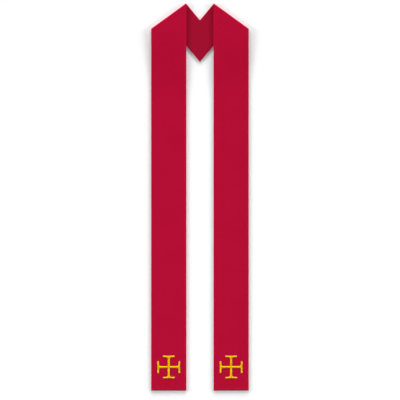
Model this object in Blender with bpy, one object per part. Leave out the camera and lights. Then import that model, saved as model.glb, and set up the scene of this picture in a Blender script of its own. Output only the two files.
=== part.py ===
"""A clerical stole laid out flat and face up: two straight fronts, folded over at slanting shoulders,
with the V of the back neck lying under them, its lining upwards, and a gold cross above each hem.

Each front runs straight up to its shoulder and turns over there in a soft fold. Just under the fold, a
shoulder seam joins it to its half of the back neck, and the halves meet at a centre back seam. The back
neck flares under the front, to be as wide as the shoulder is. Its lower edge bends there, out of sight.

Metres. +X is across the stole, +Y from the hems to the neck, +Z up from the surface that it lies on.
The origin is under the middle of the whole outline. Left and right are as the stole lies, seen from above.
"""

import math

import bmesh
import bpy
from mathutils import Vector

# Driving sizes of the cut
LENGTH = 1.321  # hem to shoulder peak
BAND_WIDTH = 0.120
NECK_GAP = 0.0927  # between the inner edges of the two fronts
SHOULDER_SLOPE = math.radians(36.0)  # how steeply each shoulder fold falls outwards
BACK_SLOPE = math.radians(50.5)  # how steeply each half of the back neck falls to the centre
BACK_DEPTH = 0.1427  # from the neck edge to the point, down the centre back seam
YOKE_RADIUS = 0.080  # the bend in the back neck's lower edge, under the front

# Walls, and the gaps kept between pieces
OUTER_CLOTH = 0.0011
LINING = 0.0010
PIECE_GAP = 0.0003
NECK_STACK = OUTER_CLOTH + PIECE_GAP + LINING
FRONT_WALL = NECK_STACK  # the front's outer cloth and its hidden lining together
RIM_SHARE = 0.38  # of a wall's thickness, rounded off at its rim
LINING_SET_BACK = 0.0010  # the outer cloth rolls this far round the edge, onto the lining's side

# The soft shoulder fold, and how the front comes down from it
FOLD_RADIUS = 0.0017  # at the middle of the wall
HALF_TURN = math.pi * FOLD_RADIUS
QUARTER_TURN = HALF_TURN / 2
EDGE_BEND = 0.0012  # past the fold's axis, where the front's inner edge bends to the back slope
SEAM_INSET = 0.002  # from the end of the turn to the shoulder seam
LOFT_LENGTH = 0.150  # the fold's spring holds the front up over this length
STEP_MARGIN = 0.012  # the front stays at full height this far past the back neck's lower edge
STEP_LENGTH = 0.200  # and then comes down to the surface over this length

# The cross above each hem
CROSS_SPAN = 0.0785
CROSS_ABOVE_HEM = 0.080  # to its centre
CROSS_ARM = 0.0066
CROSS_BAR_LENGTH = 0.0400
CROSS_BAR = 0.0058
CROSS_FILLET = 0.0062
CROSS_DISH = 0.0010  # how far the middle of each bar's outer edge lies in from its tips
CROSS_THICKNESS = 0.0010

# How finely the sheets are divided
FRONT_COLUMNS = 8
FRONT_ROWS = 32
ROW_CROWDING = 1.8  # above 1, rows crowd towards the shoulder
TURN_STEPS = 10
YOKE_STEPS = 6
NECK_COLUMNS = 3
ARC_STEPS = 5
RIM_STEPS = 2
RIM_ANGLE = math.radians(50)  # only corners sharper than this are rounded

HEM_Y = -LENGTH / 2
INNER_X = NECK_GAP / 2
ALONG_FOLD = Vector((math.cos(SHOULDER_SLOPE), -math.sin(SHOULDER_SLOPE)))  # outwards, down the shoulder
OFF_FOLD = Vector((math.sin(SHOULDER_SLOPE), math.cos(SHOULDER_SLOPE)))  # square to the fold, off the cloth
CLOTHS = {  # base colour, roughness
    "crimson_cloth": ((0.42, 0.004, 0.033), 0.75),
    "crimson_lining": ((0.32, 0.005, 0.026), 0.60),
    "gold_thread": ((0.78, 0.56, 0.010), 0.45),
}


def smooth(t):
    """0 below 0, 1 above 1, and a soft S between."""
    t = min(max(t, 0.0), 1.0)
    return t * t * (3 - 2 * t)


def arc(centre, radius, start, end, steps):
    """Points on an arc, with both ends. Angles are in radians, anticlockwise from +X."""
    angles = [start + (end - start) * i / steps for i in range(steps + 1)]
    return [centre + radius * Vector((math.cos(a), math.sin(a))) for a in angles]


# ---- The cut: where the cloth's two edges cross, along the fold, at flat distance d past its axis


def inner_edge(d):
    """The edge runs straight up, and bends to the back slope just before the peak."""
    past_bend = max(d - EDGE_BEND, 0.0)
    return -(d - past_bend) * math.tan(SHOULDER_SLOPE) - past_bend / math.tan(SHOULDER_SLOPE + BACK_SLOPE)


def outer_edge(d):
    """The edge runs straight on round the turn."""
    return BAND_WIDTH / math.cos(SHOULDER_SLOPE) - d * math.tan(SHOULDER_SLOPE)


def fold_axis_start():
    """The fold's axis starts on the front's inner edge, so low that the fold's peak is at the full length."""
    peak = FOLD_RADIUS + FRONT_WALL / 2
    over_axis = peak * math.cos(SHOULDER_SLOPE) - inner_edge(QUARTER_TURN) * math.sin(SHOULDER_SLOPE)
    return Vector((INNER_X, LENGTH / 2 - over_axis))


AXIS_START = fold_axis_start()


def folded(along, d):
    """The middle of the wall at a point of the flat cut, past the axis: round the turn, and then under."""
    angle = min(d, HALF_TURN) / FOLD_RADIUS
    off = FOLD_RADIUS * math.sin(angle) - max(d - HALF_TURN, 0.0)
    height = FRONT_WALL / 2 + FOLD_RADIUS * (1 + math.cos(angle))
    place = AXIS_START + along * ALONG_FOLD + off * OFF_FOLD
    return Vector((place.x, place.y, height))


# ---- The back neck's outline, in plan, on the +X side


def back_neck_outline():
    """The points of the lower edge and of the neck edge, each from the shoulder seam to the centre seam."""
    seam = HALF_TURN + SEAM_INSET + PIECE_GAP
    lower_start = folded(outer_edge(seam), seam).xy
    neck_start = folded(inner_edge(seam), seam).xy
    centre_x = PIECE_GAP / 2
    back = Vector((math.cos(BACK_SLOPE), math.sin(BACK_SLOPE)))
    neck_end = neck_start - back * (neck_start.x - centre_x) / back.x
    point = neck_end - Vector((0, BACK_DEPTH))

    # The lower edge leaves the shoulder as the front's outer edge does, mirrored in the fold.
    away_angle = math.pi / 2 - 2 * SHOULDER_SLOPE
    away = Vector((math.cos(away_angle), math.sin(away_angle)))
    corner = point + back * (lower_start - point).cross(away) / back.cross(away)
    tangent = YOKE_RADIUS * math.tan((BACK_SLOPE - away_angle) / 2)
    centre = corner - tangent * back + YOKE_RADIUS * Vector((back.y, -back.x))
    quarter = math.pi / 2
    bend = arc(centre, YOKE_RADIUS, away_angle + quarter, BACK_SLOPE + quarter, YOKE_STEPS)
    return [lower_start, *bend, point], [neck_start, neck_end]


LOWER_EDGE, NECK_EDGE = back_neck_outline()


def lower_edge_y(x):
    """How low the back neck reaches at x. Past either end its edge runs straight on."""
    stretches = list(zip(LOWER_EDGE, LOWER_EDGE[1:]))
    right, left = next((s for s in stretches if x >= s[1].x), stretches[-1])
    return left.y + (right.y - left.y) * (x - left.x) / (right.x - left.x)


def front_lift(x, y):
    """How far the front's underside stands off the surface: on the back neck, held up by the fold, or 0."""
    from_fold = -(Vector((x, y)) - AXIS_START).dot(OFF_FOLD)
    loft = (2 * FOLD_RADIUS - NECK_STACK - PIECE_GAP) * (1 - smooth(from_fold / LOFT_LENGTH))
    past_neck = lower_edge_y(x) - y - STEP_MARGIN
    step = (NECK_STACK + PIECE_GAP) * (1 - smooth(past_neck / STEP_LENGTH))
    return step + loft


# ---- The sheets: rows of points down the middle of each wall, on the +X side


def front_rows():
    """Rows from the hem to the fold's axis, round the turn and on to the shoulder seam."""
    rows = []
    for j in range(FRONT_ROWS, -1, -1):
        share = (j / FRONT_ROWS) ** ROW_CROWDING
        row = []
        for i in range(FRONT_COLUMNS + 1):
            x = INNER_X + BAND_WIDTH * i / FRONT_COLUMNS
            axis_y = AXIS_START.y - (x - INNER_X) * math.tan(SHOULDER_SLOPE)
            y = axis_y + (HEM_Y - axis_y) * share
            row.append(Vector((x, y, front_lift(x, y) + FRONT_WALL / 2)))
        rows.append(row)
    turn = [HALF_TURN * k / TURN_STEPS for k in range(1, TURN_STEPS + 1)]
    for d in [*turn, HALF_TURN + SEAM_INSET]:
        inner, outer = inner_edge(d), outer_edge(d)
        along = [inner + (outer - inner) * i / FRONT_COLUMNS for i in range(FRONT_COLUMNS + 1)]
        rows.append([folded(a, d) for a in along])
    return rows


def neck_rows(height, set_back):
    """Rows from the shoulder seam to the centre seam, each from the neck edge to the lower edge."""
    steps = [(b - a).length for a, b in zip(LOWER_EDGE, LOWER_EDGE[1:])]
    rows, done = [], 0.0
    for lower, step in zip(LOWER_EDGE, [*steps, 0.0]):
        neck = NECK_EDGE[0].lerp(NECK_EDGE[1], done / sum(steps))
        inwards = (lower - neck).normalized() * set_back
        first, last = neck + inwards, lower - inwards
        across = [first.lerp(last, i / NECK_COLUMNS) for i in range(NECK_COLUMNS + 1)]
        rows.append([Vector((p.x, p.y, height)) for p in across])
        done += step
    return rows


def cross_outline():
    """The outline about the cross's centre, anticlockwise: one arm and its bar, four times round."""
    half_arm, tip = CROSS_ARM / 2, CROSS_SPAN / 2
    bar_foot = tip - CROSS_BAR
    cap = CROSS_BAR / 2
    fillet_centre = Vector((half_arm + CROSS_FILLET, bar_foot - CROSS_FILLET))
    cap_centre = Vector((CROSS_BAR_LENGTH / 2 - cap, tip - cap))
    half = [
        Vector((half_arm, half_arm)),
        *arc(fillet_centre, CROSS_FILLET, math.pi, math.pi / 2, ARC_STEPS),
        *arc(cap_centre, cap, -math.pi / 2, math.pi / 2, ARC_STEPS),
        Vector((cap_centre.x / 2, tip - CROSS_DISH * 3 / 4)),
    ]
    mirrored = [Vector((-p.x, p.y)) for p in reversed(half[1:])]
    arm = [*half, Vector((0, tip - CROSS_DISH)), *mirrored]
    outline = []
    for across, up in ((1, 0), (0, 1), (-1, 0), (0, -1)):
        outline += [Vector((across * p.x - up * p.y, up * p.x + across * p.y)) for p in arm]
    return outline


# ---- Blender objects


def cloth_material(name):
    colour, roughness = CLOTHS[name]
    material = bpy.data.materials.new(name)
    material.use_nodes = True
    shader = material.node_tree.nodes["Principled BSDF"]
    shader.inputs["Base Color"].default_value = (*colour, 1.0)
    shader.inputs["Roughness"].default_value = roughness
    shader.inputs["Metallic"].default_value = 0.0
    material.diffuse_color = (*colour, 1.0)
    return material


def finished_mesh(name, shape):
    data = bpy.data.meshes.new(name)
    shape.to_mesh(data)
    shape.free()
    return data


def sheet_mesh(name, rows, side):
    """A single-layer grid through the rows; side is 1 for the +X half and -1 for its mirror image."""
    shape = bmesh.new()
    grid = [[shape.verts.new((side * p.x, p.y, p.z)) for p in row] for row in rows]
    for lower, upper in zip(grid, grid[1:]):
        for i in range(len(lower) - 1):
            corners = [lower[i], lower[i + 1], upper[i + 1], upper[i]]
            shape.faces.new(corners if side > 0 else reversed(corners))
    return finished_mesh(name, shape)


def add_wall(data, thickness, offset, material):
    """Puts a sheet in the scene as a wall with a rounded rim. Offset 0 thickens it both ways, 1 upwards."""
    wall = bpy.data.objects.new(data.name, data)
    bpy.context.scene.collection.objects.link(wall)
    data.materials.append(material)
    data.shade_smooth()
    solidify = wall.modifiers.new("thickness", "SOLIDIFY")
    solidify.thickness = thickness
    solidify.offset = offset
    solidify.use_even_offset = True
    rim = wall.modifiers.new("rim", "BEVEL")
    rim.width = thickness * RIM_SHARE
    rim.segments = RIM_STEPS
    rim.limit_method = "ANGLE"
    rim.angle_limit = RIM_ANGLE
    return wall


def add_cross(name, side, material):
    """The cross follows the front's upper surface, moved out by the gap."""
    x, y = INNER_X + BAND_WIDTH / 2, HEM_Y + CROSS_ABOVE_HEM
    base = front_lift(x, y)
    shape = bmesh.new()
    outline = cross_outline()
    shape.faces.new([shape.verts.new((p.x, p.y, front_lift(x + p.x, y + p.y) - base)) for p in outline])
    wall = add_wall(finished_mesh(name, shape), CROSS_THICKNESS, 1.0, material)
    wall.location = (side * x, y, base + FRONT_WALL + PIECE_GAP)


def build():
    for obj in list(bpy.data.objects):
        bpy.data.objects.remove(obj)
    cloth, lining, thread = (cloth_material(name) for name in CLOTHS)
    outer_height = OUTER_CLOTH / 2
    lining_height = OUTER_CLOTH + PIECE_GAP + LINING / 2
    for side, word in ((-1, "left"), (1, "right")):
        front = sheet_mesh(f"front_{word}", front_rows(), side)
        add_wall(front, FRONT_WALL, 0.0, cloth)
        back = sheet_mesh(f"back_neck_{word}", neck_rows(outer_height, 0.0), side)
        add_wall(back, OUTER_CLOTH, 0.0, cloth)
        inside = sheet_mesh(f"neck_lining_{word}", neck_rows(lining_height, LINING_SET_BACK), side)
        add_wall(inside, LINING, 0.0, lining)
        add_cross(f"cross_{word}", side, thread)


build()
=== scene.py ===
import math

import bmesh
import bpy
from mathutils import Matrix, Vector


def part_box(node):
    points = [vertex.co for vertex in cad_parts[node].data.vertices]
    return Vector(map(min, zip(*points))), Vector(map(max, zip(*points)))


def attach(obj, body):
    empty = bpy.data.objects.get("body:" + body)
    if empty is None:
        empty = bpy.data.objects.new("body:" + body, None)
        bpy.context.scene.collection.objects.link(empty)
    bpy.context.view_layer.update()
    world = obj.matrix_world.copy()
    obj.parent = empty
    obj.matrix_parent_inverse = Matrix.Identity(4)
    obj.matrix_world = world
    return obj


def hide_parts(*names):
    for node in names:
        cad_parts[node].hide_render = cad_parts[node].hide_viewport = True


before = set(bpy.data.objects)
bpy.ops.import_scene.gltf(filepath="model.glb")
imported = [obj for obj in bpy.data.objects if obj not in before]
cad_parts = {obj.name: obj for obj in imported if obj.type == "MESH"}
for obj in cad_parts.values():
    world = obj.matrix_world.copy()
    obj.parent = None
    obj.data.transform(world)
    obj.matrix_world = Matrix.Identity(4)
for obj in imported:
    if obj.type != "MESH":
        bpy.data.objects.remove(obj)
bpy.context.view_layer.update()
print("frame loaded:", ", ".join(sorted(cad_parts)))

mm = 0.001

# What the solids say: the hem, the outer edge, the walls and the place of the crosses.
frontLow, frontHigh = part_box("front_right")
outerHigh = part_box("back_neck_right")[1]
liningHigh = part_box("neck_lining_right")[1]
crossLow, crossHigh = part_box("cross_right")

stole = {
    "bandWidth": 120 * mm,
    "shoulderSlope": math.radians(36.0),  # how steeply each shoulder fold falls outwards
    "backSlope": math.radians(50.5),  # how steeply the back neck falls to the centre
    "backDepth": 142.7 * mm,  # down the centre back seam
    "yokeRadius": 80 * mm,  # the hidden bend in the back neck's lower edge
    "foldRadius": 1.7 * mm,  # of the shoulder's turn, at the middle of the wall
    "edgeBend": 1.2 * mm,  # past the fold's axis, where the inner edge bends to the back slope
    "seamInset": 2 * mm,  # from the end of the turn to the shoulder seam
    "loftLength": 150 * mm,  # the fold's spring holds the front up over this length
    "stepMargin": 12 * mm,
    "stepLength": 200 * mm,  # the front comes down from the back neck over this length
    "clearance": 0.3 * mm,
    "centreGap": 0.02 * mm,  # from the middle to each half of the back neck
}

hemY = frontLow.y
halfLength = -frontLow.y
innerX = frontHigh.x - stole["bandWidth"]
wall = liningHigh.z
halfTurn = math.pi * stole["foldRadius"]
slope, backSlope = stole["shoulderSlope"], stole["backSlope"]
alongFold = Vector((math.cos(slope), -math.sin(slope)))
offFold = Vector((math.sin(slope), math.cos(slope)))


def smooth(t):
    t = min(max(t, 0.0), 1.0)
    return t * t * (3 - 2 * t)


def bump(t):  # 1 at 0, and 0 from -1 down and 1 up
    return smooth(1 - abs(t))


def arc(centre, radius, start, end, steps):
    angles = [start + (end - start) * i / steps for i in range(steps + 1)]
    return [centre + radius * Vector((math.cos(a), math.sin(a))) for a in angles]


def spread(stops, step):  # through all the stops, no further apart than the step
    numbers = [stops[0]]
    for low, high in zip(stops, stops[1:]):
        count = max(1, math.ceil((high - low) / step - 1e-6))
        numbers += [low + (high - low) * i / count for i in range(1, count + 1)]
    return numbers


# The cut, as the solids have it: along is along the fold, and d is flat, past the fold's axis.
def innerEdge(d):
    past = max(d - stole["edgeBend"], 0.0)
    return -(d - past) * math.tan(slope) - past / math.tan(slope + backSlope)


def outerEdge(d):
    return stole["bandWidth"] / math.cos(slope) - d * math.tan(slope)


# The fold's axis leaves the inner edge so low that the fold's peak is at the full length.
crestRise = (stole["foldRadius"] + wall / 2) * math.cos(slope)
peakRise = crestRise - innerEdge(halfTurn / 2) * math.sin(slope)
axisStart = Vector((innerX, halfLength - peakRise))


def folded(along, d):  # round the turn at the shoulder, and then back under it
    radius = stole["foldRadius"]
    angle = min(d, halfTurn) / radius
    off = radius * math.sin(angle) - max(d - halfTurn, 0.0)
    place = axisStart + along * alongFold + off * offFold
    return Vector((place.x, place.y, wall / 2 + radius * (1 + math.cos(angle))))


def neckOutline():
    seam = halfTurn + stole["seamInset"] + stole["clearance"]
    lowerStart = folded(outerEdge(seam), seam).xy
    neckStart = folded(innerEdge(seam), seam).xy
    back = Vector((math.cos(backSlope), math.sin(backSlope)))
    neckEnd = neckStart - back * (neckStart.x - stole["centreGap"]) / back.x
    point = neckEnd - Vector((0, stole["backDepth"]))
    awayAngle = math.pi / 2 - 2 * slope
    away = Vector((math.cos(awayAngle), math.sin(awayAngle)))
    corner = point + back * (lowerStart - point).cross(away) / back.cross(away)
    radius = stole["yokeRadius"]
    tangent = radius * math.tan((backSlope - awayAngle) / 2)
    centre = corner - tangent * back + radius * Vector((back.y, -back.x))
    bend = arc(centre, radius, awayAngle + math.pi / 2, backSlope + math.pi / 2, 6)
    return [lowerStart, *bend, point], [neckStart, neckEnd]


lowerEdge, neckEdge = neckOutline()


def lowerEdgeY(x):
    stretches = list(zip(lowerEdge, lowerEdge[1:]))
    right, left = next((s for s in stretches if x >= s[1].x), stretches[-1])
    return left.y + (right.y - left.y) * (x - left.x) / (right.x - left.x)


def frontLift(x, y):
    fromFold = -(Vector((x, y)) - axisStart).dot(offFold)
    spring = 2 * stole["foldRadius"] - wall - stole["clearance"]
    loft = spring * (1 - smooth(fromFold / stole["loftLength"]))
    pastNeck = lowerEdgeY(x) - y - stole["stepMargin"]
    return (wall + stole["clearance"]) * (1 - smooth(pastNeck / stole["stepLength"])) + loft


class Wire:  # a socket of a node tree; a sum on it adds Math nodes
    def __init__(self, tree, socket=None):
        self.tree, self.socket = tree, socket

    def node(self, kind, settings=None, sockets=None, out=0):
        made = self.tree.nodes.new(kind)
        for name, value in (settings or {}).items():
            setattr(made, name, value)
        for name, value in (sockets or {}).items():
            if isinstance(value, Wire):
                self.tree.links.new(value.socket, made.inputs[name])
            else:
                made.inputs[name].default_value = value
        return Wire(self.tree, made.outputs[out] if made.outputs else None)

    def other(self, out):  # another output of the same node
        return Wire(self.tree, self.socket.node.outputs[out])

    def maths(self, operation, *values):
        return self.node("ShaderNodeMath", {"operation": operation}, dict(enumerate(values)))

    def sine(self):
        return self.maths("SINE", self)

    def above(self, value):
        return self.maths("GREATER_THAN", self, value)

    def __add__(self, value):
        return self.maths("ADD", self, value)

    def __sub__(self, value):
        return self.maths("SUBTRACT", self, value)

    def __rsub__(self, value):
        return self.maths("SUBTRACT", value, self)

    def __mul__(self, value):
        return self.maths("MULTIPLY", self, value)

    def __truediv__(self, value):
        return self.maths("DIVIDE", self, value)

    def __rtruediv__(self, value):
        return self.maths("DIVIDE", value, self)

    def __pow__(self, value):
        return self.maths("POWER", self, value)

    def __rpow__(self, value):
        return self.maths("POWER", value, self)

    def __abs__(self):
        return self.maths("ABSOLUTE", self)

    __radd__, __rmul__ = __add__, __mul__


def newMaterial(name):
    material = bpy.data.materials.new(name)
    material.use_nodes = True
    material.node_tree.nodes.clear()
    return material, Wire(material.node_tree)


def finishMaterial(bench, sockets):
    shader = bench.node("ShaderNodeBsdfPrincipled", {}, sockets)
    bench.node("ShaderNodeOutputMaterial", {}, {"Surface": shader})


def bumpNormal(bench, strength, distance, height):
    sockets = {"Strength": strength, "Distance": distance, "Height": height}
    return bench.node("ShaderNodeBump", {}, sockets)


def mixColours(bench, factor, first, second):
    settings = {"data_type": "RGBA", "clamp_factor": True}
    sockets = {0: factor, 6: (*first, 1), 7: (*second, 1)}
    return bench.node("ShaderNodeMix", settings, sockets, out=2)


def scaledNoise(bench, place, perMetre, detail):
    stretch = {"operation": "MULTIPLY"}
    stretched = bench.node("ShaderNodeVectorMath", stretch, {0: place, 1: perMetre})
    sockets = {"Vector": stretched, "Scale": 1, "Detail": detail}
    return bench.node("ShaderNodeTexNoise", {}, sockets)


def clothMaterial(name, look):
    material, bench = newMaterial(name)
    cut = bench.node("ShaderNodeUVMap", {"uv_map": "cut"})
    across = bench.node("ShaderNodeSeparateXYZ", {}, {"Vector": cut})
    warpWave = (across * (math.pi / look["warpPitch"])).sine()
    weftWave = (across.other(1) * (math.pi / look["weftPitch"])).sine()
    over = (warpWave * weftWave).above(0)  # where the warp lies on top
    warp, weft = abs(warpWave), abs(weftWave)
    warpTop = warp * weft ** look["crownLength"]
    weftTop = weft * warp ** look["crownLength"]
    weave = over * warpTop + (1 - over) * weftTop * look["weftHeight"]
    slubs = scaledNoise(bench, cut, look["warpSlubs"], 2)
    bars = scaledNoise(bench, cut, look["weftSlubs"], 2)
    cloud = scaledNoise(bench, cut, look["dyeCloud"], 3)
    yarn = (slubs + bars) / 2
    yarnContrast, cloudContrast = look["yarnContrast"], look["cloudContrast"]
    weaveShadeContrast = look["weaveShadeContrast"]
    # The weave lightens the colour on the threads' crowns and darkens it between them: painted
    # shade of the weave's hollows, added to the yarn's and dye's real tone.
    shade = yarn * yarnContrast + cloud * cloudContrast + weave * weaveShadeContrast
    total = yarnContrast + cloudContrast + weaveShadeContrast
    height = weave * look["weaveHeight"] + yarn * look["slubHeight"]
    finishMaterial(
        bench,
        {
            "Base Color": mixColours(bench, shade / total, look["dark"], look["light"]),
            "Roughness": look["weaveRoughness"] * weave + look["roughness"],
            "Specular IOR Level": look["specular"],
            "Specular Tint": (*look["tint"], 1),
            "Sheen Weight": look["sheen"],
            "Sheen Roughness": look["sheenRoughness"],
            "Sheen Tint": (*look["tint"], 1),
            "Normal": bumpNormal(bench, look["bumpStrength"], 1.0, height),
        },
    )
    return material


clothGrain = {  # of both cloths
    "warpSlubs": (700, 25, 1),  # cells of noise a metre: how the warp threads' thickness varies
    "weftSlubs": (18, 600, 1),
    "dyeCloud": (14, 9, 1),  # how evenly the dye took
    "weaveRoughness": 0.06,
    "tint": (1.0, 0.12, 0.22),
}
crimsonCloth = clothMaterial(
    "crimson_cloth",
    {
        **clothGrain,
        "warpPitch": 0.50 * mm,
        "weftPitch": 0.56 * mm,
        "crownLength": 0.45,
        "weftHeight": 0.85,
        "weaveHeight": 0.10 * mm,
        "slubHeight": 0.10 * mm,
        "bumpStrength": 0.55,
        "dark": (0.372, 0.0030, 0.0270),
        "light": (0.448, 0.0048, 0.0340),
        "yarnContrast": 1.0,
        "cloudContrast": 0.5,
        "weaveShadeContrast": 0.35,
        "roughness": 0.88,
        "specular": 0.0,
        "sheen": 0.08,
        "sheenRoughness": 0.5,
    },
)
crimsonLining = clothMaterial(
    "crimson_lining",
    {
        **clothGrain,
        "warpPitch": 0.30 * mm,
        "weftPitch": 0.34 * mm,
        "crownLength": 0.25,
        "weftHeight": 0.7,
        "weaveHeight": 0.02 * mm,
        "slubHeight": 0.03 * mm,
        "bumpStrength": 0.4,
        # Darker than the outer cloth's colours: painted shade of the back neck between and under
        # the fronts, on top of the lining's own darker tone.
        "dark": (0.292, 0.0040, 0.0225),
        "light": (0.332, 0.0056, 0.0275),
        "yarnContrast": 1.0,
        "cloudContrast": 0.4,
        "weaveShadeContrast": 0.2,
        "roughness": 0.72,
        "specular": 0.01,
        "sheen": 0.06,
        "sheenRoughness": 0.4,
    },
)


def threadMaterial(name, look):
    material, bench = newMaterial(name)
    tone = bench.node("ShaderNodeAttribute", {"attribute_name": "threadTone"}, out=2)
    place = bench.node("ShaderNodeTexCoord", out=3)
    fibre = scaledNoise(bench, place, look["fibres"], 1)
    shade = tone * look["toneShare"] + fibre * (1 - look["toneShare"])
    finishMaterial(
        bench,
        {
            "Base Color": mixColours(bench, shade, look["dark"], look["light"]),
            "Metallic": look["metallic"],
            "Roughness": look["fibreRoughness"] * fibre + look["roughness"],
            "Specular IOR Level": look["specular"],
            "Specular Tint": (*look["tint"], 1),
            "Sheen Weight": look["sheen"],
            "Sheen Tint": (*look["tint"], 1),
            "Normal": bumpNormal(bench, look["bumpStrength"], look["fibreHeight"], fibre),
        },
    )
    return material


goldThread = threadMaterial(
    "gold_thread",
    {
        "dark": (0.68, 0.455, 0.0010),
        "light": (0.82, 0.61, 0.0016),
        "toneShare": 0.7,  # from thread to thread, and the rest is along the fibres
        "fibres": (1600, 1600, 1600),
        "fibreHeight": 0.05 * mm,
        "bumpStrength": 0.3,
        "metallic": 0.22,
        "roughness": 0.42,
        "fibreRoughness": 0.1,
        "specular": 0.10,
        "tint": (1.0, 0.80, 0.02),
        "sheen": 0.0,
    },
)
print("materials made")


# The rim's points, from the top round to the underside. At fullness 1 it is half an ellipse.
def rollRim(half, reach, fullness, steps=8):
    rim = []
    for angle in [math.pi * k / steps for k in range(1, steps)]:
        out, up = math.sin(angle), math.cos(angle)
        rim.append((reach * out**fullness, math.copysign(half * abs(up) ** fullness, up)))
    return rim


def addObject(name, data):
    made = bpy.data.objects.new(name, data)
    bpy.context.scene.collection.objects.link(made)
    return made


def standIn(piece, node):  # for the solid
    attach(piece, "root")
    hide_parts(node)
    return piece


def gridNormals(grid):
    normals = []
    for r, row in enumerate(grid):
        line = []
        for c, spot in enumerate(row):
            along = grid[min(r + 1, len(grid) - 1)][c]["mid"] - grid[max(r - 1, 0)][c]["mid"]
            across = row[min(c + 1, len(row) - 1)]["mid"] - row[max(c - 1, 0)]["mid"]
            line.append(across.cross(along).normalized())
        normals.append(line)
    return normals


sharpAngle = math.radians(50)


# A closed cloth: the grid's top and underside, joined by a rim. Each spot of the grid has its
# middle, its place in the flat cut, and how far the cloth's top and underside are from there.
def clothShell(name, grid, mirrored, rimAt, materials, underMaterialAt=None, squareCorners=False):
    normals = gridNormals(grid)
    lastRow, lastColumn = len(grid) - 1, len(grid[0]) - 1
    shape = bmesh.new()
    cutOf = {}

    def addPoint(place, cut):
        point = shape.verts.new((-place.x if mirrored else place.x, place.y, place.z))
        cutOf[point] = cut
        return point

    def outward(r, c):
        normal, spot, direction = normals[r][c], grid[r][c]["mid"], Vector((0, 0, 0))
        if c in (0, lastColumn):
            edge = grid[min(r + 1, lastRow)][c]["mid"] - grid[max(r - 1, 0)][c]["mid"]
            direction += outAlong(edge, normal, spot - grid[r][1 if c == 0 else c - 1]["mid"])
        if r in (0, lastRow) and (squareCorners or c not in (0, lastColumn)):
            edge = grid[r][min(c + 1, lastColumn)]["mid"] - grid[r][max(c - 1, 0)]["mid"]
            direction += outAlong(edge, normal, spot - grid[1 if r == 0 else r - 1][c]["mid"])
        return direction

    def outAlong(edge, normal, line):  # along the line, as far as takes it 1 out from the edge
        square = edge.cross(normal).normalized()
        return line / abs(line.dot(square))

    top, under = [], []
    for line, normalLine in zip(grid, normals):
        spots = list(zip(line, normalLine))
        top.append([addPoint(s["mid"] + n * s["up"], s["cut"]) for s, n in spots])
        under.append([addPoint(s["mid"] - n * s["down"], s["cut"]) for s, n in spots])
    for r in range(lastRow):
        for c in range(lastColumn):
            corners = [(r, c), (r, c + 1), (r + 1, c + 1), (r + 1, c)]
            shape.faces.new([top[i][j] for i, j in corners])
            face = shape.faces.new([under[i][j] for i, j in reversed(corners)])
            if underMaterialAt:
                face.material_index = underMaterialAt(r, c)
    ring = [(0, c) for c in range(lastColumn)]
    ring += [(r, lastColumn) for r in range(lastRow)]
    ring += [(lastRow, c) for c in range(lastColumn, 0, -1)]
    ring += [(r, 0) for r in range(lastRow, 0, -1)]
    chains = []
    for r, c in ring:
        out, normal, spot = outward(r, c), normals[r][c], grid[r][c]
        chain = [top[r][c]]
        for away, height in rimAt(r, c):
            place = spot["mid"] + out * away + normal * height
            chain.append(addPoint(place, spot["cut"] + out.xy * away))
        chains.append([*chain, under[r][c]])
    for first, second in zip(chains, [*chains[1:], chains[0]]):
        for k in range(len(first) - 1):
            shape.faces.new([first[k], first[k + 1], second[k + 1], second[k]])
    bmesh.ops.recalc_face_normals(shape, faces=shape.faces)
    cutMap = shape.loops.layers.uv.new("cut")
    for face in shape.faces:
        face.smooth = True
        for loop in face.loops:
            loop[cutMap].uv = cutOf[loop.vert]
    data = bpy.data.meshes.new(name)
    shape.to_mesh(data)
    shape.free()
    data.set_sharp_from_angle(angle=sharpAngle)
    for material in materials:
        data.materials.append(material)
    return addObject(name, data)


front = {
    "cell": 5.5 * mm,
    "turnSteps": 12,
    "foldFullness": 3.0,  # 2 turns the fold's outside as a circle, and more makes it squarer
    "edgeFullness": 0.75,
    "slantLength": 320 * mm,  # rows turn to the shoulder's slope over this length
    "slantPower": 1.5,
    "edgeTurn": 1.0 * mm,  # the outer cloth comes round onto the lining this far
    "groove": 0.2 * mm,  # how deep the lining's edge lies, beside the turned cloth
    "grooveWidth": 0.8 * mm,
    "grooveReach": 0.05 * mm,  # points this near the turned cloth's edge are in the groove
    "allowance": 9 * mm,  # the seam allowance inside shows as a faint ridge
    "allowanceHeight": 0.12 * mm,
    "allowanceSlope": 1.2 * mm,  # to each side of the ridge's edge
    "ridgeFade": 1.5,  # above 1, the ridge is gone before the end of the turn
    "swellMargin": 30 * mm,  # the swells fade out towards the edges
    "leftSwellShift": 0.035,  # and lie this share further up on the left
    "swells": (  # share across, share up the front, reach across, reach along, height
        (0.30, 0.160, 60 * mm, 70 * mm, 0.30 * mm),
        (0.72, 0.235, 55 * mm, 95 * mm, 0.35 * mm),
        (0.40, 0.330, 70 * mm, 80 * mm, 0.28 * mm),
        (0.60, 0.455, 60 * mm, 110 * mm, 0.38 * mm),
        (0.25, 0.545, 50 * mm, 90 * mm, 0.30 * mm),
        (0.68, 0.640, 65 * mm, 85 * mm, 0.34 * mm),
        (0.45, 0.760, 70 * mm, 120 * mm, 0.32 * mm),
        (0.58, 0.880, 60 * mm, 80 * mm, 0.25 * mm),
    ),
}


def frontSwell(across, along, flip):
    height = 0.0
    for acrossShare, alongShare, reachAcross, reachAlong, rise in front["swells"]:
        share = 1 - acrossShare if flip else acrossShare
        up = alongShare + (front["leftSwellShift"] if flip else 0)
        fromMiddle = bump((across - share * stole["bandWidth"]) / reachAcross)
        height += rise * fromMiddle * bump((along - up * 2 * halfLength) / reachAlong)
    fromEdge = min(across, stole["bandWidth"] - across)
    return height * smooth(fromEdge / front["swellMargin"])


def allowanceRidge(fromEdge):
    half = front["allowanceSlope"]
    return front["allowanceHeight"] * smooth((front["allowance"] + half - fromEdge) / (2 * half))


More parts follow.
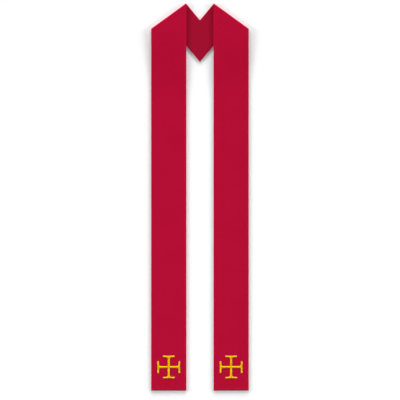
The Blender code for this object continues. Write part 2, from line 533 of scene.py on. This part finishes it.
def underside(fromEdge):  # how far it is below the middle of the wall
    fromTurned = abs(fromEdge - wall / 2 - front["edgeTurn"])
    return wall / 2 - (front["groove"] if fromTurned < front["grooveReach"] else 0.0)


def foldReach(d):  # from the middle of the wall to the outside, round the turn
    angle, power = min(d, halfTurn) / stole["foldRadius"], front["foldFullness"]
    squarer = (abs(math.sin(angle)) ** power + abs(math.cos(angle)) ** power) ** (1 / power)
    return (stole["foldRadius"] + wall / 2) / squarer - stole["foldRadius"]


def frontColumns():
    turned, ridge = wall / 2 + front["edgeTurn"], front["allowance"]
    slopeWidth = front["allowanceSlope"]
    edge = [wall / 2, turned, turned + front["grooveWidth"]]
    edge += [ridge - slopeWidth, ridge, ridge + slopeWidth]
    columns = [*edge, *[stole["bandWidth"] - e for e in reversed(edge)]]
    return spread(columns, front["cell"]), edge


def frontGrid(flip):
    half, width = wall / 2, stole["bandWidth"]
    columns, edge = frontColumns()
    innerLength, slantLength = axisStart.y - hemY, front["slantLength"]
    grid = []
    for b in spread([*edge, innerLength], front["cell"]):
        slant = max(0.0, (b - innerLength + slantLength) / slantLength) ** front["slantPower"]
        line = []
        for a in columns:
            place = Vector((innerX + a, hemY + b - a * math.tan(slope) * slant))
            fromEdge = min(a, width - a, place.y - hemY)
            up = half + frontSwell(a, place.y - hemY, flip) + allowanceRidge(fromEdge)
            mid = Vector((place.x, place.y, frontLift(place.x, place.y) + half))
            line.append({"mid": mid, "cut": place, "up": up, "down": underside(fromEdge)})
        grid.append(line)
    turn = [halfTurn * k / front["turnSteps"] for k in range(1, front["turnSteps"] + 1)]
    for d in [*turn, halfTurn + stole["seamInset"] - half]:
        part = min(1.0, d / halfTurn)
        inset = (1 - part) / math.cos(slope) + part
        ridge = 1 - smooth(front["ridgeFade"] * d / halfTurn)
        line = []
        for a in columns:
            near, far = innerEdge(d) + a * inset, outerEdge(d) - (width - a) / math.cos(slope)
            along = near + (far - near) * a / width
            flat = axisStart + along * alongFold + d * offFold
            fromEdge = min(a, width - a)
            up = foldReach(d) + allowanceRidge(fromEdge) * ridge
            down = underside(fromEdge)
            line.append({"mid": folded(along, d), "cut": flat, "up": up, "down": down})
        grid.append(line)
    return grid, columns


def makeFront(name, node, mirrored):
    grid, columns = frontGrid(mirrored)
    rim = rollRim(wall / 2, wall / 2, front["edgeFullness"])

    def underMaterial(r, c):
        middle = (columns[c] + columns[c + 1]) / 2
        fromEdge = min(middle, stole["bandWidth"] - middle)
        return 0 if fromEdge < wall / 2 + front["edgeTurn"] or r == 0 else 1

    materials = [crimsonCloth, crimsonLining]
    piece = clothShell(
        name, grid, mirrored, lambda r, c: rim, materials, underMaterial, squareCorners=True
    )
    return standIn(piece, node)


fronts = [
    makeFront("frontClothLeft", "front_left", True),
    makeFront("frontClothRight", "front_right", False),
]
print("fronts made:", [len(piece.data.polygons) for piece in fronts])


neck = {
    "cell": 6 * mm,
    "edgeStops": (0.0, 1.0 * mm, 2.2 * mm, 4.5 * mm),  # columns near each edge
    "columns": 18,  # and between them
    "beadWidth": 1.6 * mm,  # the outer cloth, rolled round the edge onto the lining's side
    "beadHeight": wall - 0.1 * mm,
    # Shares of the bead's width and of its rise over the flat cloth, and then of half the wall.
    "beadTop": ((0.02, 0.45), (0.16, 0.86), (0.42, 1.0), (0.72, 0.84), (0.93, 0.30)),
    "beadUnder": ((1.00, 0.55), (0.93, -0.45), (0.76, -1.0)),
    "liningSetBack": 1.13 * mm,
    "liningSlack": 0.05 * mm,
    "liningFullness": 0.85,
    "puff": 0.10 * mm,  # the lining stands up a little between its seams
    "puffReach": 4 * mm,
    "seamRound": 0.15 * mm,
    "seamFullness": 0.5,
}


# From the shoulder seam to the centre: the neck edge, the lower edge and its direction.
def neckRows():
    lengths = [(b - a).length for a, b in zip(lowerEdge, lowerEdge[1:])]
    lower, shares, done = [], [], 0.0
    for start, end, length in zip(lowerEdge, lowerEdge[1:], lengths):
        count = max(1, round(length / neck["cell"]))
        lower += [start.lerp(end, i / count) for i in range(count)]
        shares += [(done + length * i / count) / sum(lengths) for i in range(count)]
        done += length
    lower.append(lowerEdge[-1])
    shares.append(1.0)
    rows = []
    for i, (point, share) in enumerate(zip(lower, shares)):
        along = (lower[min(i + 1, len(lower) - 1)] - lower[max(i - 1, 0)]).normalized()
        rows.append((neckEdge[0].lerp(neckEdge[1], share), point, along))
    return rows


neckAlong = (neckEdge[1] - neckEdge[0]).normalized()


def neckGrid(height, half, setBack, seamBack=0.0, puff=0.0):
    rows, stops, count = neckRows(), neck["edgeStops"], neck["columns"]
    grid = []
    for r, (edge, lower, lowerAlong) in enumerate(rows):
        across, length = (lower - edge).normalized(), (lower - edge).length
        near, far = 1 / abs(across.cross(neckAlong)), 1 / abs(across.cross(lowerAlong))
        places = [(setBack + s) * near for s in stops]
        first, last = places[-1], length - (setBack + stops[-1]) * far
        places += [first + (last - first) * i / count for i in range(1, count)]
        places += [length - (setBack + s) * far for s in reversed(stops)]
        inwards = Vector((0, 0))
        if r in (0, len(rows) - 1):  # they step in from their seam, for the rim to reach it
            nextTo = rows[1] if r == 0 else rows[-2]
            square = Vector((-across.y, across.x))
            side = square.dot((nextTo[0] + nextTo[1]) / 2 - edge)
            inwards = square * math.copysign(seamBack, side)
        line = []
        for place in places:
            spot = edge + across * place + inwards
            fromEdge = min(place / near, (length - place) / far) - setBack
            rise = puff * smooth(fromEdge / neck["puffReach"])
            grain = Vector((spot.dot(neckAlong), spot.cross(neckAlong)))
            mid = Vector((*spot, height))
            line.append({"mid": mid, "cut": grain, "up": half + rise, "down": half})
        grid.append(line)
    return grid[::-1]  # from the centre to the shoulder seam, so that the normals point up


def neckRim(free, seam, lastColumn):  # free along the neck and lower edges, seam at the ends
    return lambda r, c: free if c in (0, lastColumn) else seam


def makeBackNeck(name, node, mirrored):
    half, width = outerHigh.z / 2, neck["beadWidth"]
    rise = neck["beadHeight"] - outerHigh.z
    bead = [(across * width, half + up * rise) for across, up in neck["beadTop"]]
    bead += [(across * width, up * half) for across, up in neck["beadUnder"]]
    steps = len(bead) + 1
    plain = [(0, half * (1 - 2 * k / steps)) for k in range(1, steps)]
    grid = neckGrid(half, half, width)
    rim = neckRim(bead, plain, len(grid[0]) - 1)
    piece = clothShell(name, grid, mirrored, rim, [crimsonCloth])
    return standIn(piece, node)


def makeNeckLining(name, node, mirrored):
    half = (liningHigh.z - outerHigh.z) / 2 - neck["liningSlack"]
    setBack, seamRound = neck["liningSetBack"] + half, neck["seamRound"]
    grid = neckGrid(outerHigh.z + half, half, setBack, seamRound, neck["puff"])
    free = rollRim(half, half, neck["liningFullness"])
    seam = rollRim(half, seamRound, neck["seamFullness"])
    rim = neckRim(free, seam, len(grid[0]) - 1)
    piece = clothShell(name, grid, mirrored, rim, [crimsonLining])
    return standIn(piece, node)


backNecks = [
    makeBackNeck("backNeckClothLeft", "back_neck_left", True),
    makeBackNeck("backNeckClothRight", "back_neck_right", False),
]
linings = [
    makeNeckLining("neckLiningLeft", "neck_lining_left", True),
    makeNeckLining("neckLiningRight", "neck_lining_right", False),
]
print("back neck made:", [len(piece.data.polygons) for piece in backNecks + linings])


cross = {
    "arm": 6.6 * mm,
    "barLength": 40 * mm,
    "bar": 5.8 * mm,
    "fillet": 6.2 * mm,
    "dish": 1.0 * mm,
    "pitch": 0.46 * mm,
    "threadWidth": 0.50 * mm,
    "endInset": 0.20 * mm,  # of each end from the outline, since the thread is round
    "leastHalfSpan": 0.3 * mm,
    "crown": 0.85 * mm,
    "sunk": 0.30 * mm,  # the thread's ends lie this far under the cloth's surface
    "spanJitter": 0.12 * mm,
    "turnJitter": 0.02,
    "padInset": 0.45 * mm,
    "padHeight": 0.57 * mm,
    "padSunk": 0.1 * mm,
    "padRoot": 0.2 * mm,  # how far its foot is below that
    "padRings": ((0.25 * mm, 0.55), (0.9 * mm, 0.9), (1.7 * mm, 1.0)),  # inset, share of height
    "seeds": {"left": 11, "right": 23},
}
crossTip = (crossHigh.y - crossLow.y) / 2
crossCentre = (crossLow + crossHigh) / 2


def spun(point, cosine, sine):
    x, y = point
    return Vector((x * cosine - y * sine, x * sine + y * cosine))


def stitchSpots():  # place, half the span, and turn of each thread, about the cross's centre
    half, tip, pitch = cross["arm"] / 2, crossTip, cross["pitch"]
    foot, cap, fillet = tip - cross["bar"], cross["bar"] / 2, cross["fillet"]
    capX = cross["barLength"] / 2 - cap
    spots = []
    for quarter in range(4):
        turn = quarter * math.pi / 2
        upright = quarter % 2 == 0
        start = 0.0 if upright else half
        count = round((foot - start) / pitch)
        for i in range(count):
            y = start + (foot - start) * (i + 0.5) / count
            into = max(0.0, y - (foot - fillet))
            reach = half + fillet - math.sqrt(max(0.0, fillet**2 - into**2))
            spots.append((Vector((0, y)), reach, 0.0, turn))
        count = round(cross["barLength"] / pitch)
        for i in range(count):
            x = cross["barLength"] * ((i + 0.5) / count - 0.5)
            if abs(x) > capX:
                reach = math.sqrt(max(0.0, cap**2 - (abs(x) - capX) ** 2))
                low, high = tip - cap - reach, tip - cap + reach
            else:
                low, high = foot, tip - cross["dish"] * (1 - (x / capX) ** 2)
            spots.append((Vector((x, (low + high) / 2)), (high - low) / 2, math.pi / 2, turn))
    placed = []
    for place, reach, own, turn in spots:
        span = max(reach - cross["endInset"], cross["leastHalfSpan"])
        placed.append((spun(place, math.cos(turn), math.sin(turn)), span, own + turn))
    return placed


def crossOutline(inset):
    half, tip = cross["arm"] / 2 - inset, crossTip - inset
    bar = cross["bar"] - 2 * inset
    foot, cap = tip - bar, bar / 2
    fillet = cross["fillet"] + inset
    filletCentre = Vector((half + fillet, foot - fillet))
    capCentre = Vector((cross["barLength"] / 2 - inset - cap, tip - cap))
    side = [
        Vector((half, half)),
        *arc(filletCentre, fillet, math.pi, math.pi / 2, 8),
        *arc(capCentre, cap, -math.pi / 2, math.pi / 2, 8),
        Vector((capCentre.x / 2, tip - cross["dish"] * 0.75)),  # halfway, on the same parabola
    ]
    mirroredSide = [Vector((-p.x, p.y)) for p in reversed(side[1:])]
    arm = [*side, Vector((0, tip - cross["dish"])), *mirroredSide]
    quarters = ((1, 0), (0, 1), (-1, 0), (0, -1))
    return [spun(point, cosine, sine) for cosine, sine in quarters for point in arm]


def makeThreadTree():
    tree = bpy.data.node_groups.new("satinStitch", "GeometryNodeTree")
    inputs = {
        "Spots": "NodeSocketGeometry",
        "Thread width": "NodeSocketFloat",
        "Crown": "NodeSocketFloat",
        "Span jitter": "NodeSocketFloat",
        "Turn jitter": "NodeSocketFloat",
        "Seed": "NodeSocketInt",
        "Thread": "NodeSocketMaterial",
    }
    for name, kind in inputs.items():
        tree.interface.new_socket(name, in_out="INPUT", socket_type=kind)
    tree.interface.new_socket("Geometry", in_out="OUTPUT", socket_type="NodeSocketGeometry")
    bench = Wire(tree)
    given = bench.node("NodeGroupInput")
    sockets = [given.other(i) for i in range(len(inputs))]
    spots, width, crown, spanJitter, turnJitter, seed, thread = sockets
    number = {"data_type": "FLOAT"}

    def chance(offset, low, high):
        limits = {2: low, 3: high, 8: seed + offset}
        return bench.node("FunctionNodeRandomValue", number, limits, out=1)

    def stored(name):
        return bench.node("GeometryNodeInputNamedAttribute", number, {"Name": name})

    toned = bench.node(
        "GeometryNodeStoreNamedAttribute",
        {**number, "domain": "POINT"},
        {"Geometry": spots, "Name": "threadTone", "Value": chance(0, 0.0, 1.0)},
    )
    span = stored("halfSpan") + spanJitter * chance(1, -1.0, 1.0)
    rise = crown * chance(2, 0.92, 1.08)
    turn = stored("turn") + turnJitter * chance(3, -1.0, 1.0)
    scale = bench.node("ShaderNodeCombineXYZ", {}, {"X": span, "Y": 1.0, "Z": rise})
    facing = bench.node("ShaderNodeCombineXYZ", {}, {"Z": turn})
    rotation = bench.node("FunctionNodeEulerToRotation", {}, {"Euler": facing})
    arch = bench.node(  # 2 across and 1 high, as its handles are 4/3 high
        "GeometryNodeCurvePrimitiveBezierSegment",
        {"mode": "POSITION"},
        {
            "Resolution": 8,
            "Start": (-1, 0, 0),
            "Start Handle": (-0.94, 0, 1.33),
            "End Handle": (0.94, 0, 1.33),
            "End": (1, 0, 0),
        },
    )
    placed = bench.node(
        "GeometryNodeInstanceOnPoints",
        {},
        {"Points": toned, "Instance": arch, "Rotation": rotation, "Scale": scale},
    )
    curves = bench.node("GeometryNodeRealizeInstances", {}, {"Geometry": placed})
    section = bench.node(
        "GeometryNodeCurvePrimitiveCircle",
        {"mode": "RADIUS"},
        {"Resolution": 5, "Radius": width / 2},
    )
    tubes = bench.node(
        "GeometryNodeCurveToMesh",
        {},
        {"Curve": curves, "Profile Curve": section, "Fill Caps": True},
    )
    soft = bench.node("GeometryNodeSetShadeSmooth", {}, {"Geometry": tubes})
    whole = bench.node("GeometryNodeRealizeInstances", {}, {"Geometry": soft})
    painted = {"Geometry": whole, "Material": thread}
    finished = bench.node("GeometryNodeSetMaterial", {}, painted)
    bench.node("NodeGroupOutput", {}, {"Geometry": finished})
    return tree


def pointObject(name, places, values):
    data = bpy.data.meshes.new(name)
    data.from_pydata(places, [], [])
    for key, numbers in values.items():
        data.attributes.new(key, "FLOAT", "POINT").data.foreach_set("value", numbers)
    return addObject(name, data)


def grown(carrier, tree, settings, name):  # runs the tree once, and keeps a plain mesh
    modifier = carrier.modifiers.new("grow", "NODES")
    modifier.node_group = tree
    for item in tree.interface.items_tree:
        if item.in_out == "INPUT" and item.name in settings:
            modifier[item.identifier] = settings[item.name]
    evaluated = carrier.evaluated_get(bpy.context.evaluated_depsgraph_get())
    data = bpy.data.meshes.new_from_object(evaluated)
    data.name = name
    carrier.modifiers.remove(modifier)
    bpy.data.objects.remove(carrier)
    return data


def padMesh(name, centre, base):
    rings = [(0.0, -cross["padRoot"])]
    rings += [(inset, share * cross["padHeight"]) for inset, share in cross["padRings"]]
    shape = bmesh.new()
    loops = []
    for inset, height in rings:
        outline = [centre + point for point in crossOutline(cross["padInset"] + inset)]
        loops.append([shape.verts.new((*point, base + height)) for point in outline])
    for lower, upper in zip(loops, loops[1:]):
        for i in range(len(lower)):
            j = (i + 1) % len(lower)
            shape.faces.new([lower[i], lower[j], upper[j], upper[i]])
    shape.faces.new(loops[-1])
    shape.faces.new(list(reversed(loops[0])))
    bmesh.ops.recalc_face_normals(shape, faces=shape.faces)
    for face in shape.faces:
        face.smooth = len(face.verts) == 4
    data = bpy.data.meshes.new(name)
    shape.to_mesh(data)
    shape.free()
    data.materials.append(goldThread)
    return data


def joined(name, meshes):
    shape = bmesh.new()
    for data in meshes:
        shape.from_mesh(data)
    data = bpy.data.meshes.new(name)
    shape.to_mesh(data)
    shape.free()
    data.materials.append(goldThread)
    for old in meshes:
        bpy.data.meshes.remove(old)
    return data


threadTree = makeThreadTree()


def makeCross(name, node, side, seed):
    centre = Vector((side * crossCentre.x, crossCentre.y))
    clothTop = wall + frontLift(abs(centre.x), centre.y)
    places, spans, turns = zip(*stitchSpots())
    carrier = pointObject(
        name + "Spots",
        [(*(centre + place), clothTop - cross["sunk"]) for place in places],
        {"halfSpan": spans, "turn": turns},
    )
    threads = grown(
        carrier,
        threadTree,
        {
            "Thread width": cross["threadWidth"],
            "Crown": cross["crown"],
            "Span jitter": cross["spanJitter"],
            "Turn jitter": cross["turnJitter"],
            "Seed": seed,
            "Thread": goldThread,
        },
        name + "Threads",
    )
    pad = padMesh(name + "Pad", centre, clothTop - cross["padSunk"])
    piece = addObject(name, joined(name, [threads, pad]))
    return standIn(piece, node)


crosses = [
    makeCross("crossStitchLeft", "cross_left", -1, cross["seeds"]["left"]),
    makeCross("crossStitchRight", "cross_right", 1, cross["seeds"]["right"]),
]
print("crosses made:", [len(piece.data.polygons) for piece in crosses])


def outlineArea(points):
    return abs(sum(a.cross(b) for a, b in zip(points, [*points[1:], points[0]]))) / 2


# Each front was cut as a straight band to the fold's crest and on round to the shoulder seam.
toAxis = axisStart.y - stole["bandWidth"] / 2 * math.tan(slope) - hemY
turnedLength = halfTurn + stole["seamInset"]
axisLength = outerEdge(0) - innerEdge(0)
seamLength = outerEdge(turnedLength) - innerEdge(turnedLength)
frontArea = stole["bandWidth"] * toAxis + turnedLength * (axisLength + seamLength) / 2
neckPoints = [*lowerEdge, *reversed(neckEdge)]
neckFlat = tuple(max(side) - min(side) for side in zip(*neckPoints))
neckArea = outlineArea(neckPoints)
print(f"back neck cut {neckFlat[0]:.4f} x {neckFlat[1]:.4f} m, {neckArea:.5f} square metres")


stage = {
    "floorSize": 14.0,
    "floorDrop": 0.05 * mm,
    "floorAlbedo": 0.90,
    "floorMottle": 0.005,
    "world": 0.21,  # its share of the light that reaches the floor
    "topSun": (0.03, 70, 0, 40),  # share, and degrees: over the floor, clockwise from +Y, width
    "sunPairs": (  # the same, and each has its mirror image
        (0.08, 6.8, 12, 5.5),
        (0.075, 12, 24, 9),
        (0.06, 9.5, 46, 9),
        (0.17, 10.6, 83, 10),
    ),
}


def addFloor():
    far, low = stage["floorSize"] / 2, -stage["floorDrop"]
    data = bpy.data.meshes.new("floor")
    corners = [(-far, -far, low), (far, -far, low), (far, far, low), (-far, far, low)]
    data.from_pydata(corners, [], [(0, 1, 2, 3)])
    material, bench = newMaterial("paleFloor")
    place = bench.node("ShaderNodeTexCoord", out=3)
    cloud = scaledNoise(bench, place, (1.5, 1.5, 1.5), 2)
    albedo, mottle = stage["floorAlbedo"], stage["floorMottle"]
    dark, light = (albedo * (1 - mottle),) * 3, (albedo * (1 + mottle),) * 3
    colour = mixColours(bench, cloud, dark, light)
    finishMaterial(bench, {"Base Color": colour, "Roughness": 0.95, "Specular IOR Level": 0.0})
    data.materials.append(material)
    addObject("floor", data)


def addSun(name, share, elevation, bearing, softness):
    lamp = bpy.data.lights.new(name, "SUN")
    high, way = math.radians(elevation), math.radians(bearing)
    lamp.energy = share * math.pi / stage["floorAlbedo"] / math.sin(high)
    lamp.angle = math.radians(softness)
    flat = math.cos(high)
    towards = Vector((math.sin(way) * flat, math.cos(way) * flat, math.sin(high)))
    sun = addObject(name, lamp)
    sun.location = towards * 3
    sun.rotation_euler = towards.to_track_quat("Z", "Y").to_euler()


def addWorld():
    world = bpy.data.worlds.new("paleRoom")
    world.use_nodes = True
    world.node_tree.nodes.clear()
    bench = Wire(world.node_tree)
    strength = stage["world"] / stage["floorAlbedo"]
    glow = bench.node("ShaderNodeBackground", {}, {"Color": (1, 1, 1, 1), "Strength": strength})
    bench.node("ShaderNodeOutputWorld", {}, {"Surface": glow})
    bpy.context.scene.world = world


view = {
    "lens": 120,
    "sensor": 36,
    "width": 1.3652,  # what 400 pixels take in at the floor
    "centre": Vector((0.24 * mm, -10.4 * mm)),
}


def addCamera():
    data = bpy.data.cameras.new("camera")
    data.lens, data.sensor_width = view["lens"], view["sensor"]
    data.clip_end = 100
    camera = addObject("camera", data)
    camera.location = (*view["centre"], view["width"] * view["lens"] / view["sensor"])
    bpy.context.scene.camera = camera


addFloor()
addSun("topSun", *stage["topSun"])
for number, (share, elevation, bearing, softness) in enumerate(stage["sunPairs"], 1):
    for name, side in (("Right", 1), ("Left", -1)):
        addSun(f"lowSun{name}{number}", share, elevation, side * bearing, softness)
addWorld()
addCamera()
bpy.context.scene.view_settings.view_transform = "Standard"
print("stage set")
